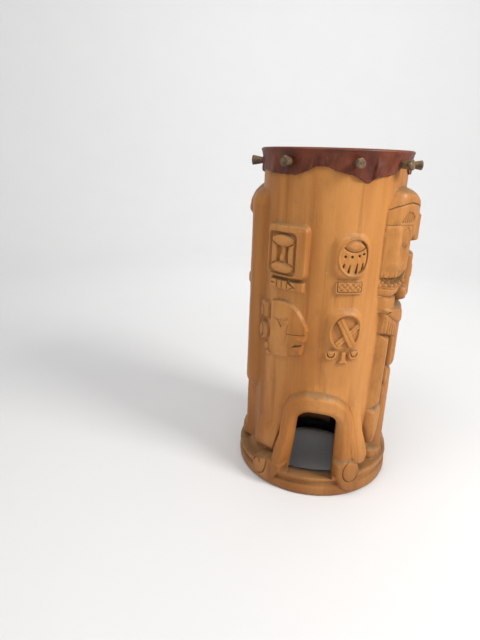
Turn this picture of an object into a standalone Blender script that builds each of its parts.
"""A tall carved standing drum: a hollow trunk, a stretched skin and the pegs that hold it.

Metres, +Z up. The origin is on the floor at the drum's axis and the front faces -Y.
Angles run round the trunk from the front towards +X.
"""
import math

import bmesh
import bpy
from mathutils import Vector

# Trunk
HEIGHT = 0.900
SKIN_THICKNESS = 0.0035
WALL_RADIUS = 0.183
BORE_RADIUS = 0.142
TOP_FLARE = 0.007
FLARE_LENGTH = 0.035
RIM_ROUND = 0.003
SIDES = 40
FIT_GAP = 0.0003

# Base ring: a fat lower roll, a groove and a thinner upper roll
RING_OUT = 0.0384
LOWER_ROLL = 0.033
GROOVE_DEPTH = 0.007
GROOVE_WIDTH = 0.010
UPPER_ROLL = 0.019
RING_LEAN = 0.16

# Skin
SKIRT_LENGTH = 0.052
SKIRT_WAVE = 0.007
FOLD_HEIGHT = 0.0028
SKIN_ROWS = 3
HEAD_ROUND = 0.004

# Pegs
PEG_ANGLES = (-89.3, -34.3, 13.2, 52.2, 91.7, 136, 180, 225)
PEG_DROP = 0.032
PEG_TIP_RADIUS = 0.0055
PEG_ROOT_RADIUS = 0.0078
PEG_END_RADIUS = 0.0130
PEG_IN_WALL = 0.58 * (WALL_RADIUS - BORE_RADIUS)
PEG_STICK_OUT = 0.030
PEG_END_ROUND = 0.0025
PEG_SIDES = 10

# Archways, front and back: the left side splays out, the right side is upright
ARCH_LEFT = 0.0445
ARCH_RIGHT = 0.0595
ARCH_TOP = 0.236
ARCH_LEFT_CORNER = 0.022
ARCH_RIGHT_CORNER = 0.030
ARCH_SPLAY = 0.017
SILL_OUTER = 0.058
SILL_INNER = 0.031

# Moulding round an archway, with a rounded paw and a raised eye at the end of each leg.
# A paw or an eye is (distance right of the archway's middle, height, half width, half height)
MOULDING_HALF = 0.0225
CROWN_HALF = 0.030
MOULDING_OUT = 0.021
MOULDING_SIDES = 5
FOOT_OUT = 0.0435
PAWS = ((-0.110, 0.043, 0.046, 0.037), (0.0855, 0.060, 0.036, 0.055))
EYES = ((-0.124, 0.047, 0.015, 0.021), (0.092, 0.077, 0.019, 0.031))

# Carving
BURY = 0.010
GLYPH_RELIEF = 0.0145
FIGURE_BASE = 0.062
FIGURE_DROP = 0.078
FIGURE_TOP = HEIGHT - FIGURE_DROP
FIGURE_RELIEF = 0.040
FIGURE_FRONT = 44.7
PANEL_GROOVE_DEPTH = 0.005
PANEL_GROOVE_WIDTH = 0.006
PANEL_GROOVES = (-59.8, 43.7)
GROOVE_BOTTOM = 0.165
GROOVE_TOP = FIGURE_TOP - 0.047

FACET = 2 * math.pi / SIDES
SEAM = math.radians(12)
GOLDEN = 0.618034
SHORT = 0.00005
FLAT = math.radians(0.2)
BODY_DETAIL = 0.60
RING_TOP = LOWER_ROLL + GROOVE_WIDTH + UPPER_ROLL
TRUNK_TOP = HEIGHT - SKIN_THICKNESS - FIT_GAP
PEG_HEIGHT = HEIGHT - PEG_DROP


def clear_scene():
    for old in list(bpy.data.objects):
        bpy.data.objects.remove(old, do_unlink=True)


def material(name, colour, roughness):
    made = bpy.data.materials.new(name)
    made.use_nodes = True
    shader = made.node_tree.nodes["Principled BSDF"]
    shader.inputs["Base Color"].default_value = (*colour, 1)
    shader.inputs["Roughness"].default_value = roughness
    shader.inputs["Metallic"].default_value = 0.0
    return made


def finish_mesh(name, bm, look=None):
    bmesh.ops.recalc_face_normals(bm, faces=bm.faces)
    mesh = bpy.data.meshes.new(name)
    bm.to_mesh(mesh)
    bm.free()
    made = bpy.data.objects.new(name, mesh)
    bpy.context.scene.collection.objects.link(made)
    if look:
        mesh.materials.append(look)
    return made


def on_facets(angle, radius, z, shift):
    """A point on a ring of flat facets, so that a wrapped block keeps flat faces."""
    step = math.floor(angle / SEAM - shift)
    share = angle / SEAM - shift - step
    start = (step + shift) * SEAM
    end = start + SEAM
    x = (1 - share) * math.sin(start) + share * math.sin(end)
    y = (1 - share) * math.cos(start) + share * math.cos(end)
    return Vector((radius * x, -radius * y, z))


def place(angle, radius, z):
    return (radius * math.sin(angle), -radius * math.cos(angle), z)


def wall_radius(z):
    """The trunk's outer radius above the ring: straight, then flaring under the skin."""
    share = (z - TRUNK_TOP + FLARE_LENGTH) / FLARE_LENGTH
    share = min(max(share, 0), 1)
    return WALL_RADIUS + TOP_FLARE * share * share


def closed_rows(rows):
    """Faces between rings of vertices, the last ring joined back to the first."""
    bm = bmesh.new()
    rings = [[bm.verts.new(point) for point in row] for row in rows]
    for lower, upper in zip(rings, rings[1:] + rings[:1]):
        for a, b, c, d in zip(lower, lower[1:] + lower[:1], upper[1:] + upper[:1], upper):
            bm.faces.new((a, b, c, d))
    return bm


# Flat outlines, as (x, y) points

def arc(cx, cy, half_w, half_h, start, end, count):
    turns = [math.radians(start + (end - start) * i / count) for i in range(count + 1)]
    return [(cx + half_w * math.cos(t), cy + half_h * math.sin(t)) for t in turns]


def oval(cx, cy, half_w, half_h, count=10):
    return arc(cx, cy, half_w, half_h, 0, 360, count)[:-1]


def rounded(cx, cy, half_w, half_h, corner, count=2):
    w = half_w - corner
    h = half_h - corner
    points = []
    for turn, (sx, sy) in enumerate(((1, 1), (-1, 1), (-1, -1), (1, -1))):
        points += arc(cx + sx * w, cy + sy * h, corner, corner, 90 * turn, 90 * turn + 90, count)
    return points


def strip(start, end, width, end_width=None):
    """A straight bar that may taper from one width to another."""
    last = width if end_width is None else end_width
    dx = end[0] - start[0]
    dy = end[1] - start[1]
    length = math.hypot(dx, dy)
    nx = -dy / length / 2
    ny = dx / length / 2
    return [(start[0] - nx * width, start[1] - ny * width),
            (end[0] - nx * last, end[1] - ny * last),
            (end[0] + nx * last, end[1] + ny * last),
            (start[0] + nx * width, start[1] + ny * width)]


def limb(start, end, radius, end_radius, count=4):
    """A rounded bar between two points."""
    along = math.degrees(math.atan2(end[1] - start[1], end[0] - start[0]))
    head = arc(*end, end_radius, end_radius, along - 90, along + 90, count)
    tail = arc(*start, radius, radius, along + 90, along + 270, count)
    return head + tail


def ribbon(points, width):
    """The outline of a line of constant width through several points."""
    sides = []
    for here, (x, y) in enumerate(points):
        before = points[max(here - 1, 0)]
        after = points[min(here + 1, len(points) - 1)]
        along = Vector((after[0] - before[0], after[1] - before[1])).normalized()
        sides.append((along.y * width / 2, -along.x * width / 2))
    right = [(x + dx, y + dy) for (x, y), (dx, dy) in zip(points, sides)]
    left = [(x - dx, y - dy) for (x, y), (dx, dy) in zip(points, sides)]
    return right + left[::-1]


class Carving:
    """Blocks and cuts on one patch of the trunk, in shares of a unit length.

    Each piece has its seams and its hidden end at slightly different places, so that no two
    faces of crossing pieces lie in one plane.
    """

    made = 0

    def __init__(self, stages, degrees, base, unit, relief):
        self.stages = stages
        self.turn = math.radians(degrees) * WALL_RADIUS
        self.base = base
        self.unit = unit
        self.relief = relief

    def wrap(self, outline, foot, top, edge=0.0, rounds=1):
        """A block from one radius to another, with an eased outer edge, wrapped round the trunk."""
        Carving.made += 1
        shift = Carving.made * GOLDEN % 1
        bm = bmesh.new()
        flat = [(self.turn + x * self.unit, self.base + y * self.unit, 0) for x, y in outline]
        face = bm.faces.new([bm.verts.new(point) for point in flat])
        grown = bmesh.ops.extrude_face_region(bm, geom=[face])["geom"]
        upper = [part for part in grown if isinstance(part, bmesh.types.BMVert)]
        bmesh.ops.translate(bm, verts=upper, vec=(0, 0, top - foot))
        if edge:
            rim = [part for part in grown if isinstance(part, bmesh.types.BMEdge)]
            bmesh.ops.bevel(bm, geom=rim, offset=edge * self.unit, segments=rounds, profile=0.5,
                            affect="EDGES", clamp_overlap=True)
        bmesh.ops.remove_doubles(bm, verts=bm.verts, dist=SHORT)
        reach = [vert.co.x / WALL_RADIUS / SEAM - shift for vert in bm.verts]
        for step in range(math.ceil(min(reach)), math.floor(max(reach)) + 1):
            seam = ((step + shift) * SEAM * WALL_RADIUS, 0, 0)
            everything = bm.verts[:] + bm.edges[:] + bm.faces[:]
            bmesh.ops.bisect_plane(bm, geom=everything, dist=1e-6, plane_co=seam, plane_no=(1, 0, 0))
        bmesh.ops.dissolve_degenerate(bm, edges=bm.edges, dist=SHORT)
        for vert in bm.verts:
            s, z, height = vert.co
            vert.co = on_facets(s / WALL_RADIUS, foot + height, z, shift)
        return finish_mesh("carving", bm)

    def block(self, outline, level=1.0, edge=0.0, rounds=1, stage="blocks"):
        foot = WALL_RADIUS - BURY * (0.8 + 0.4 * (Carving.made * GOLDEN ** 2 % 1))
        top = WALL_RADIUS + level * self.relief
        self.stages[stage].append(self.wrap(outline, foot, top, edge, rounds))

    def inset(self, outline, level, edge=0.0):
        self.block(outline, level, edge, 1, "insets")

    def cut(self, outline, level, stage="cuts"):
        """A cut from outside the carving down to a level."""
        floor = WALL_RADIUS + level * self.relief
        outside = WALL_RADIUS + (1.5 + 0.2 * (Carving.made * GOLDEN ** 2 % 1)) * self.relief
        self.stages[stage].append(self.wrap(outline, floor, outside))

    def hollow(self, outline, level):
        self.cut(outline, level, "hollows")

    def line(self, points, width, level):
        self.cut(ribbon(points, width), level)


# Glyph blocks, in shares of the block's own height

def window_glyph(carving):
    """A square frame round a smaller plate that holds two lens forms, side bars and a knob."""
    carving.block(rounded(0.0, 0.59, 0.37, 0.41, 0.09), 1.0, 0.035)
    carving.hollow(rounded(-0.052, 0.544, 0.257, 0.316, 0.06), 0.25)
    carving.inset(rounded(-0.052, 0.544, 0.205, 0.262, 0.05), 0.85, 0.02)
    left = arc(-0.20, 0.53, 0.065, 0.15, 70, -70, 4)
    right = arc(0.12, 0.53, 0.065, 0.15, 250, 110, 4)
    carving.cut(left + right, 0.10)
    carving.block(oval(-0.045, 0.735, 0.15, 0.07), 1.0, 0.02, stage="last")
    carving.block(oval(-0.045, 0.325, 0.15, 0.062), 0.95, 0.02, stage="last")
    carving.block(limb((-0.036, 0.70), (-0.040, 0.475), 0.040, 0.075), 0.65, stage="last")
    carving.block(rounded(0.02, 0.088, 0.315, 0.086, 0.03, 2), 0.8, 0.02)
    for across in (-0.115, -0.03, 0.06):
        carving.cut(strip((across, -0.02), (across, 0.20), 0.024), 0.3)
    carving.cut([(0.085, 0.13), (0.21, 0.095), (0.085, 0.03)], 0.3)


def hand_glyph(carving):
    """A cushion shape with a sunk oval: a cap, four dots and four slits over a latticed foot."""
    carving.block(rounded(0.0, 0.605, 0.33, 0.395, 0.22, 3), 0.72, 0.05)
    carving.hollow(oval(0.045, 0.605, 0.232, 0.285, 14), 0.40)
    carving.inset(oval(0.045, 0.595, 0.205, 0.255, 14), 0.60)
    carving.block(arc(0.045, 0.86, 0.17, 0.145, 180, 360, 6), 0.80, stage="last")
    for dot in ((-0.098, 0.615), (0.007, 0.612), (0.123, 0.625), (0.195, 0.655)):
        carving.cut(oval(*dot, 0.026, 0.026, 6), 0.12)
    for top, low in (((-0.105, 0.500), (-0.140, 0.39)), ((-0.015, 0.485), (-0.037, 0.345)),
                     ((0.098, 0.505), (0.086, 0.350)), ((0.190, 0.510), (0.184, 0.400))):
        carving.cut(strip(top, low, 0.022, 0.044), 0.12)
    carving.block(rounded(0.02, 0.10, 0.235, 0.105, 0.05, 2), 0.5, 0.025)
    for across in (-0.055, 0.095):
        for side in (-1, 1):
            ends = ((across - side * 0.075, 0.04), (across + side * 0.075, 0.175))
            carving.cut(strip(*ends, 0.014), 0.35 + 0.02 * side)


def head_glyph(carving):
    """A head in profile facing right, with an ear column and a round ear ornament."""
    skull = arc(0.02, 0.55, 0.37, 0.44, 125, 20, 5)
    face = [(0.435, 0.66), (0.45, 0.58), (0.415, 0.545), (0.45, 0.50), (0.41, 0.33), (0.385, 0.18)]
    jaw = [(0.10, 0.09), (-0.15, 0.05), (-0.195, 0.30)]
    carving.block(skull + face + jaw, 0.9, 0.04)
    carving.block(rounded(-0.345, 0.76, 0.135, 0.16, 0.05, 2), 0.75, 0.04)
    carving.block(oval(-0.365, 0.41, 0.15, 0.165), 0.85, 0.05)
    carving.block(oval(-0.29, 0.17, 0.065, 0.07, 7), 0.55)
    carving.block(oval(-0.24, 0.07, 0.06, 0.06, 7), 0.52)
    carving.cut(strip((-0.205, 0.97), (-0.19, 0.06), 0.022), 0.3)
    carving.cut(oval(-0.40, 0.41, 0.065, 0.10, 8), 0.6)
    carving.cut([(-0.10, 0.69), (0.175, 0.745), (0.165, 0.655), (0.05, 0.60)], 0.70)
    carving.line([(0.165, 0.64), (0.135, 0.505), (0.44, 0.520)], 0.022, 0.62)
    carving.line([(0.150, 0.51), (0.090, 0.285)], 0.018, 0.65)
    carving.cut([(0.20, 0.275), (0.27, 0.360), (0.37, 0.375), (0.48, 0.45), (0.48, 0.36), (0.33, 0.315)], 0.5)


def cross_glyph(carving):
    """A cushion shape with a sunk oval, two crossed straps and three feet."""
    carving.block(rounded(0.0, 0.615, 0.34, 0.385, 0.24, 3), 0.72, 0.05)
    carving.hollow(oval(0.02, 0.56, 0.235, 0.29, 14), 0.15)
    carving.inset(strip((0.215, 0.68), (-0.10, 0.37), 0.124), 0.50)
    carving.inset(strip((-0.105, 0.805), (0.160, 0.30), 0.150), 0.75)
    carving.cut(strip((-0.105, 0.805), (0.160, 0.30), 0.014), 0.58)
    for side in (-1, 1):
        carving.block(oval(0.005 + side * 0.195, 0.145, 0.115, 0.115), 0.6)
        carving.cut(oval(0.005 + side * 0.195, 0.20, 0.045, 0.055, 6), 0.3)
    carving.block([(-0.035, 0.24), (-0.035, 0.08), (-0.08, 0.0), (0.12, 0.0),
                   (0.075, 0.08), (0.07, 0.24)], 0.62)


def bars_glyph(carving):
    """The back's plain glyph: a knob over two bars in a frame."""
    carving.block(rounded(0.0, 0.5, 0.34, 0.45, 0.10), 0.8, 0.04)
    carving.hollow(rounded(0.0, 0.5, 0.25, 0.36, 0.06, 1), 0.25)
    for up in (0.26, 0.43):
        carving.inset(strip((-0.20, up), (0.20, up), 0.11), 0.75)
    carving.inset(oval(0.0, 0.68, 0.10, 0.10, 8), 0.75)


def rings_glyph(carving):
    """The back's other glyph: a sunk oval with a boss, on two feet."""
    carving.block(rounded(0.0, 0.56, 0.33, 0.42, 0.24, 3), 0.72, 0.05)
    carving.hollow(oval(0.0, 0.56, 0.23, 0.30, 12), 0.22)
    carving.inset(oval(0.0, 0.56, 0.15, 0.205), 0.65, 0.04)
    for side in (-1, 1):
        carving.block(oval(side * 0.17, 0.09, 0.10, 0.085, 8), 0.5)


# The side figure, in percent of its own height

def figure_head(carving):
    carving.block([(-2.0, 89.5), (-2.0, 80.0), (-2.4, 74.0), (-2.6, 68.6), (-1.6, 66.0), (0.0, 64.2),
                   (4.0, 63.4), (8.0, 65.0), (10.6, 69.0), (11.4, 76.0), (11.4, 89.5)], 0.84, 2.4)
    carving.block(oval(5.6, 82.8, 2.5, 3.9), 0.92, 0.9)
    carving.cut([(7.0, 85.0), (7.6, 82.4), (6.2, 79.8), (5.6, 79.6), (6.4, 82.0)], 0.72)
    carving.block([(-2.6, 88.0), (16.0, 87.4), (17.5, 95.0), (-2.4, 93.6)], 0.93, 1.6)
    for k in range(5):
        rise = 1.6 + 1.9 * math.sin(math.radians(30 + 35 * k))
        carving.cut(strip((2.6 + 1.2 * k, 88.6), (3.2 + 1.1 * k, 88.6 + rise), 0.5), 0.80)
    dome = arc(11.0, 91.0, 13.2, 9.2, 158, 20, 8)
    carving.block(dome + [(16.0, 95.6), (7.0, 95.6)], 0.86, 2.4, 2)
    carving.block(rounded(14.8, 85.6, 4.4, 5.2, 1.8), 1.13, 1.2)
    # open mouth with teeth
    carving.cut([(-3.2, 70.2), (3.4, 70.6), (9.4, 73.6), (9.2, 72.6), (5.0, 69.4), (-3.2, 68.8)], 0.45)
    for k in range(3):
        across = -0.9 + 1.5 * k
        carving.block(strip((across, 71.2), (across, 69.9), 1.1, 0.8), 0.80, stage="last")
        carving.block(strip((across + 0.2, 68.4), (across + 0.2, 69.5), 1.0, 0.7), 0.76, stage="last")
    carving.line([(-3.0, 66.4), (2.0, 65.8), (6.4, 68.0), (9.4, 71.6)], 0.4, 0.72)


def figure_ear(carving):
    carving.block(rounded(14.6, 69.6, 5.4, 9.0, 2.2), 0.95, 1.4)
    carving.block(oval(19.4, 64.4, 3.4, 4.0, 8), 0.88, 1.4)
    carving.cut(oval(14.0, 70.2, 3.2, 4.2), 0.86)
    carving.block(oval(14.0, 70.2, 2.1, 2.9, 8), 0.98, 0.6, stage="last")


def figure_body(carving):
    carving.block(rounded(2.4, 61.4, 4.6, 4.2, 1.8), 0.50, 1.2)
    carving.block([(4.0, 61.0), (19.5, 61.0), (20.5, 48.0), (20.0, 36.0), (6.6, 36.0), (6.2, 46.0)], 0.74, 1.4)
    for up in (39.2, 43.0):
        carving.cut(strip((5.6, up), (21.0, up), 0.6), 0.60)
    carving.block(oval(8.4, 33.0, 3.2, 3.4, 8), 0.64, 1.4)
    # shoulder guard over its fringe
    carving.block(rounded(4.6, 52.6, 4.2, 4.2, 0.6, 1), 0.68)
    for k in range(4):
        carving.cut(strip((2.2 + 1.6 * k, 48.2), (2.2 + 1.6 * k, 55.0), 0.5), 0.52)
    carving.block([(-0.8, 60.6), (6.0, 61.0), (9.4, 58.6), (9.9, 54.8), (8.6, 53.8), (4.6, 54.6),
                   (0.6, 57.0)], 0.80, 1.1)
    # arm and hand
    carving.block(limb((3.5, 48.0), (1.9, 27.4), 3.3, 3.1), 0.66, 1.5, 2)
    carving.block([(-1.6, 23.0), (1.8, 23.6), (6.4, 23.0), (6.6, 14.0), (4.6, 8.0), (3.2, 7.4),
                   (0.4, 10.0), (-1.4, 15.0)], 0.60, 1.5)


def figure_legs(carving):
    carving.block([(7.0, 37.0), (16.6, 37.0), (15.4, 24.0), (14.6, -1.0), (7.2, -1.0), (7.6, 12.0),
                   (6.6, 24.0)], 0.62, 1.6)
    carving.block([(16.2, 37.0), (26.0, 26.0), (25.0, 8.0), (26.4, -1.0), (15.4, -1.0), (16.6, 12.0)],
                  0.52, 1.6)
    carving.block(rounded(6.6, 2.2, 4.8, 3.8, 1.6), 0.74, 1.2)
    carving.block(rounded(19.0, 1.8, 5.6, 3.6, 1.6), 0.76, 1.2)


def figure_plume(carving):
    """A long smooth feather down the back, domed at the top and rounded at the end."""
    top = arc(24.6, 93.0, 5.6, 4.4, 180, 0, 5)
    low = arc(24.8, 27.0, 5.2, 4.8, 0, -180, 5)
    carving.block(top + low, 0.68, 2.2, 2)


def carve_side(stages, turn):
    height = FIGURE_TOP - FIGURE_BASE
    carving = Carving(stages, turn + FIGURE_FRONT, FIGURE_BASE, height / 100, FIGURE_RELIEF)
    for carve in (figure_plume, figure_legs, figure_body, figure_head, figure_ear):
        carve(carving)
    for degrees in PANEL_GROOVES:
        groove = Carving(stages, turn + degrees, 0.0, 1.0, PANEL_GROOVE_DEPTH)
        groove.cut(strip((0, GROOVE_BOTTOM), (0, GROOVE_TOP), PANEL_GROOVE_WIDTH), -1.0)


def carve_glyphs(stages):
    """Four glyph blocks on the front panel and four plainer ones on the back."""
    patches = ((window_glyph, -33.9, 0.557, 0.171), (hand_glyph, 16.4, 0.564, 0.152),
               (head_glyph, -35.4, 0.361, 0.174), (cross_glyph, 16.9, 0.380, 0.1525),
               (bars_glyph, 147.0, 0.575, 0.145), (rings_glyph, 196.0, 0.570, 0.145),
               (rings_glyph, 147.0, 0.382, 0.145), (bars_glyph, 196.0, 0.385, 0.145))
    for carve, degrees, base, unit in patches:
        carve(Carving(stages, degrees, base, unit, GLYPH_RELIEF))


# Archways

def moulding(route, turn):
    """A fat roll along a route of (distance round, height, half width, stand-out) stations."""
    bm = bmesh.new()
    sections = []
    for here, (s, z, half, out) in enumerate(route):
        ahead = route[min(here + 1, len(route) - 1)]
        behind = route[max(here - 1, 0)]
        along = Vector((ahead[0] - behind[0], ahead[1] - behind[1])).normalized()
        section = []
        for step in range(MOULDING_SIDES + 1):
            swing = math.pi * step / MOULDING_SIDES
            offset = half * math.cos(swing)
            angle = (s + along.y * offset) / WALL_RADIUS
            height = z - along.x * offset
            radius = WALL_RADIUS - BURY * 0.5 + (out + BURY * 0.5) * math.sin(swing)
            section.append((angle, radius, height))
        angle = s / WALL_RADIUS
        section.append((angle, WALL_RADIUS - BURY * 1.5, z))
        sections.append([bm.verts.new(place(turn + a, r, h)) for a, r, h in section])
    for low, high in zip(sections, sections[1:]):
        for a, b, c, d in zip(low, low[1:] + low[:1], high[1:] + high[:1], high):
            bm.faces.new((a, b, c, d))
    bm.faces.new(sections[0])
    bm.faces.new(sections[-1])
    bmesh.ops.triangulate(bm, faces=bm.faces)
    return finish_mesh("moulding", bm)


def arch_route():
    """The moulding's line: up the splayed left leg, over the top and down the right leg."""
    left = ARCH_LEFT + MOULDING_HALF
    right = ARCH_RIGHT + MOULDING_HALF
    crown = ARCH_TOP + CROWN_HALF
    left_bend = ARCH_LEFT_CORNER + MOULDING_HALF
    right_bend = ARCH_RIGHT_CORNER + MOULDING_HALF
    middle = []
    for cx, bend, start, end in ((left_bend - left, left_bend, 180, 90), (right - right_bend, right_bend, 90, 0)):
        for s, z in arc(cx, crown - bend, bend, bend, start, end, 3):
            share = 1 - (crown - z) / bend
            middle.append((s, z, MOULDING_HALF + (CROWN_HALF - MOULDING_HALF) * share, MOULDING_OUT))
    legs = []
    for foot, splay in ((-left, -ARCH_SPLAY), (right, 0.0)):
        leg = []
        for share in (0.35, 0.70, 1.0):
            z = crown - left_bend - share * (crown - left_bend - SILL_OUTER)
            leg.append((foot + splay * share ** 2, z, MOULDING_HALF,
                        MOULDING_OUT + (FOOT_OUT - MOULDING_OUT) * share ** 3))
        legs.append(leg)
    return legs[0][::-1] + middle + legs[1]


def carve_arch(stages, turn):
    stages["blocks"].append(moulding(arch_route(), turn))
    patch = Carving(stages, math.degrees(turn), 0.0, 1.0, FOOT_OUT)
    for s, z, half_w, half_h in PAWS:
        patch.block(rounded(s, z, half_w, half_h, 0.8 * half_w, 3), 1.0, 0.008)
    for s, z, half_w, half_h in EYES:
        patch.block(oval(s, z, half_w, half_h, 12), 1.04, 0.004)
    stages["cuts"].append(archway(turn))


def archway(turn):
    """The cutter for one archway: an upright opening over a sill that falls inwards."""
    outer = WALL_RADIUS + FOOT_OUT + BURY
    inner = BORE_RADIUS * 0.6
    top = []
    for side, edge, corner in ((1, ARCH_RIGHT, ARCH_RIGHT_CORNER), (-1, ARCH_LEFT, ARCH_LEFT_CORNER)):
        bend = arc(edge - corner, ARCH_TOP - corner, corner, corner, 0, 90, 4)
        top += [(side * x, z) for x, z in bend[::side]]
    fall = (SILL_OUTER - SILL_INNER) / (WALL_RADIUS + RING_OUT - BORE_RADIUS)
    rows = []
    for depth in (outer, inner):
        sill = SILL_OUTER - (WALL_RADIUS + RING_OUT - depth) * fall
        row = top + [(-ARCH_LEFT - ARCH_SPLAY, sill), (ARCH_RIGHT, sill)]
        spun = [(x * math.cos(turn) + depth * math.sin(turn), x * math.sin(turn) - depth * math.cos(turn), z)
                for x, z in row]
        rows.append(spun)
    bm = bmesh.new()
    ends = [[bm.verts.new(point) for point in row] for row in rows]
    for a, b, c, d in zip(ends[0], ends[0][1:] + ends[0][:1], ends[1][1:] + ends[1][:1], ends[1]):
        bm.faces.new((a, b, c, d))
    bm.faces.new(ends[0])
    bm.faces.new(ends[1])
    return finish_mesh("archway", bm)


# Trunk

def trunk_profile():
    """(radius, height) from the inner foot out, up over the ring, up the wall and down the bore."""
    ring = WALL_RADIUS + RING_OUT
    groove = ring - GROOVE_DEPTH
    low_mid = LOWER_ROLL / 2
    upper_foot = LOWER_ROLL + GROOVE_WIDTH
    upper_half = UPPER_ROLL / 2
    points = [(BORE_RADIUS, 0.0), (ring - 0.006, 0.0)]
    points += [(groove + GROOVE_DEPTH * math.cos(t), low_mid + low_mid * math.sin(t))
               for t in (math.radians(a) for a in (-50, 0, 50))]
    points += [(groove + GROOVE_DEPTH * math.cos(t), upper_foot + upper_half + upper_half * math.sin(t))
               for t in (math.radians(a) for a in (-60, -10, 45))]
    points += [(WALL_RADIUS, RING_TOP + 0.004)]
    for share in (0.0, 0.5, 0.8):
        z = TRUNK_TOP - FLARE_LENGTH * (1 - share)
        points.append((wall_radius(z), z))
    rim = wall_radius(TRUNK_TOP - RIM_ROUND)
    points += [(rim, TRUNK_TOP - RIM_ROUND), (rim - RIM_ROUND, TRUNK_TOP)]
    points += [(BORE_RADIUS + RIM_ROUND, TRUNK_TOP), (BORE_RADIUS, TRUNK_TOP - RIM_ROUND)]
    return points


def ring_height(angle, z):
    """The ring's rolls stand higher on the +X side; the foot and the wall stay level."""
    share = max(0.0, 1 - max(0.0, z - RING_TOP) / RING_TOP)
    return z * (1 + RING_LEAN * math.sin(angle) * share)


def trunk_mesh():
    rows = []
    for radius, z in trunk_profile():
        outside = radius > BORE_RADIUS + RIM_ROUND
        turns = [step * FACET for step in range(SIDES)]
        tilted = outside and z < TRUNK_TOP / 2
        rows.append([place(turn, radius, ring_height(turn, z) if tilted else z) for turn in turns])
    return closed_rows(rows)


def drop_folds(bm):
    """Removes pairs of slivers that lie back to back on the same corners."""
    alike = {}
    for face in bm.faces:
        alike.setdefault(frozenset(face.verts), []).append(face)
    folds = [face for faces in alike.values() if len(faces) == 2 for face in faces]
    bmesh.ops.delete(bm, geom=folds, context="FACES")
    loose = [edge for edge in bm.edges if not edge.link_faces]
    bmesh.ops.delete(bm, geom=loose, context="EDGES")


def tidy_mesh(mesh, triangles=False):
    """Joins flat neighbours and drops slivers; the last pass leaves triangles only."""
    bm = bmesh.new()
    bm.from_mesh(mesh)
    bmesh.ops.dissolve_limit(bm, angle_limit=FLAT, verts=bm.verts, edges=bm.edges)
    bmesh.ops.dissolve_degenerate(bm, edges=bm.edges, dist=SHORT / 5)
    drop_folds(bm)
    if triangles:
        bmesh.ops.triangulate(bm, faces=bm.faces)
        drop_folds(bm)
    bm.to_mesh(mesh)
    bm.free()


def evaluated_mesh(target):
    graph = bpy.context.evaluated_depsgraph_get()
    return bpy.data.meshes.new_from_object(target.evaluated_get(graph))


def lighten(target, share):
    """Collapses the flattest triangles of the carved wall; the ring, rim and bore stay exact."""
    carved = target.vertex_groups.new(name="carved")
    top = HEIGHT - SKIRT_LENGTH * 1.3
    for vert in target.data.vertices:
        radius = math.hypot(vert.co.x, vert.co.y)
        if RING_TOP * 1.3 < vert.co.z < top and radius > BORE_RADIUS * 1.05:
            carved.add([vert.index], 1.0, "REPLACE")
    step = target.modifiers.new("lighten", "DECIMATE")
    step.ratio = share
    step.vertex_group = carved.name
    step.vertex_group_factor = 10.0
    result = evaluated_mesh(target)
    target.modifiers.clear()
    target.data = result
    tidy_mesh(result, triangles=True)


def combine(target, operation, pieces):
    """One Boolean of the target with a whole group of pieces, which are then removed."""
    group = bpy.data.collections.new(operation)
    for piece in pieces:
        group.objects.link(piece)
    step = target.modifiers.new(operation, "BOOLEAN")
    step.operation = operation
    step.operand_type = "COLLECTION"
    step.collection = group
    step.solver = "EXACT"
    result = evaluated_mesh(target)
    target.modifiers.clear()
    target.data = result
    tidy_mesh(result)
    for piece in pieces:
        bpy.data.objects.remove(piece, do_unlink=True)
    bpy.data.collections.remove(group)


def make_body(look):
    body = finish_mesh("drum_body", trunk_mesh(), look)
    stages = {"blocks": [], "hollows": [], "insets": [], "cuts": [], "last": []}
    carve_glyphs(stages)
    carve_side(stages, 0)
    carve_side(stages, 180)
    carve_arch(stages, 0.0)
    carve_arch(stages, math.pi)
    combine(body, "UNION", stages["blocks"])
    combine(body, "DIFFERENCE", stages["hollows"])
    combine(body, "UNION", stages["insets"])
    combine(body, "DIFFERENCE", stages["cuts"])
    combine(body, "UNION", stages["last"])
    tidy_mesh(body.data, triangles=True)
    lighten(body, BODY_DETAIL)
    return body


# Skin and pegs

def skirt_edge(turn):
    """The ragged lower edge: a few long waves, lowest beside the front right peg."""
    wave = math.sin(3 * turn + 0.7) * 0.45 + math.sin(7 * turn + 2.1) * 0.35 + math.cos(turn - 0.5) * 0.2
    return HEIGHT - SKIRT_LENGTH + SKIRT_WAVE * wave


def fold(turn):
    """Gathers of the leather between the pegs, as a share of the fold height."""
    return 0.5 + 0.5 * math.sin(11 * turn + 0.8) * math.cos(4 * turn)


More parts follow.
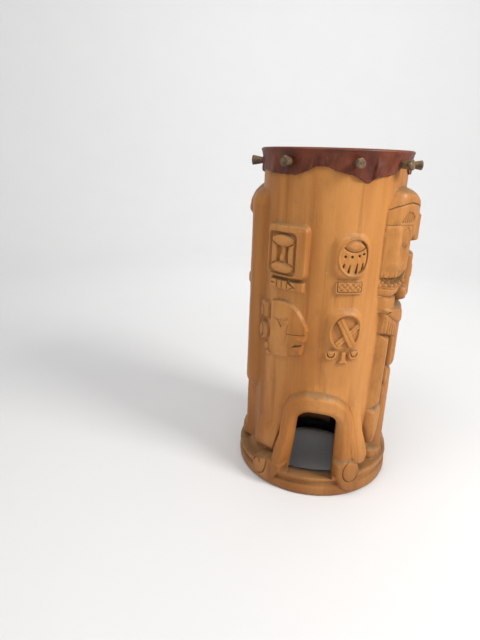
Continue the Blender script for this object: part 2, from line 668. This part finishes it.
def make_skin(look):
    """The skin as one closed sheet: up the inside, across under the head, and back outside."""
    inside = TRUNK_TOP + FIT_GAP
    gap = FIT_GAP * 3
    rim = wall_radius(TRUNK_TOP - RIM_ROUND) + gap
    turns = [step * FACET for step in range(SIDES)]
    rows = []
    for step in range(SKIN_ROWS):
        share = step / (SKIN_ROWS - 1)
        row = []
        for turn in turns:
            z = skirt_edge(turn) * (1 - share) + (inside - RIM_ROUND) * share
            row.append(place(turn, wall_radius(z) + gap, z))
        rows.append(row)
    rows.append([place(turn, rim - RIM_ROUND, inside) for turn in turns])
    outer = []
    for step in range(SKIN_ROWS):
        share = step / (SKIN_ROWS - 1)
        row = []
        for turn in turns:
            z = skirt_edge(turn) * (1 - share) + (HEIGHT - HEAD_ROUND) * share
            puff = SKIN_THICKNESS + FOLD_HEIGHT * fold(turn) * (1 - share)
            row.append(place(turn, wall_radius(z) + gap + puff, z))
        outer.append(row)
    outer.append([place(turn, rim + SKIN_THICKNESS - HEAD_ROUND, HEIGHT) for turn in turns])
    bm = bmesh.new()
    rings = [[bm.verts.new(point) for point in row] for row in rows[::-1] + outer]
    for low, high in zip(rings, rings[1:]):
        for a, b, c, d in zip(low, low[1:] + low[:1], high[1:] + high[:1], high):
            bm.faces.new((a, b, c, d))
    bm.faces.new(rings[0])
    bm.faces.new(rings[-1])
    return finish_mesh("drum_skin", bm, look)


def peg_profile(grow):
    """(radius, distance from the drum's axis) of one tapered peg, grown all round by a clearance."""
    seat = wall_radius(PEG_HEIGHT)
    start = seat - PEG_IN_WALL
    end = seat + SKIN_THICKNESS + PEG_STICK_OUT
    return [(PEG_TIP_RADIUS + grow, start - grow),
            (PEG_ROOT_RADIUS + grow, seat + SKIN_THICKNESS),
            (PEG_END_RADIUS + grow, end - PEG_END_ROUND),
            (PEG_END_RADIUS - PEG_END_ROUND + grow, end + grow)]


def peg_mesh(degrees, grow=0.0):
    turn = math.radians(degrees)
    outward = Vector((math.sin(turn), -math.cos(turn), 0))
    across = Vector((math.cos(turn), math.sin(turn), 0))
    up = Vector((0, 0, 1))
    bm = bmesh.new()
    rings = []
    for radius, distance in peg_profile(grow):
        centre = outward * distance + up * PEG_HEIGHT
        spin = [2 * math.pi * step / PEG_SIDES for step in range(PEG_SIDES)]
        rings.append([bm.verts.new(centre + (across * math.cos(a) + up * math.sin(a)) * radius)
                      for a in spin])
    for low, high in zip(rings, rings[1:]):
        for a, b, c, d in zip(low, low[1:] + low[:1], high[1:] + high[:1], high):
            bm.faces.new((a, b, c, d))
    bm.faces.new(rings[0])
    bm.faces.new(rings[-1])
    return bm


def make_pegs(look, body, skin):
    for number, degrees in enumerate(PEG_ANGLES, 1):
        finish_mesh(f"peg_{number}", peg_mesh(degrees), look)
    for drilled in (body, skin):
        drills = [finish_mesh("drill", peg_mesh(degrees, FIT_GAP)) for degrees in PEG_ANGLES]
        combine(drilled, "DIFFERENCE", drills)


def main():
    clear_scene()
    wood = material("carved_cedar", (0.46, 0.22, 0.075), 0.55)
    hide = material("painted_hide", (0.105, 0.028, 0.020), 0.42)
    peg_wood = material("peg_wood", (0.19, 0.11, 0.048), 0.6)
    body = make_body(wood)
    skin = make_skin(hide)
    make_pegs(peg_wood, body, skin)
    for made in bpy.context.scene.objects:
        made.data.shade_smooth()
        made.data.set_sharp_from_angle(angle=math.radians(32))


main()
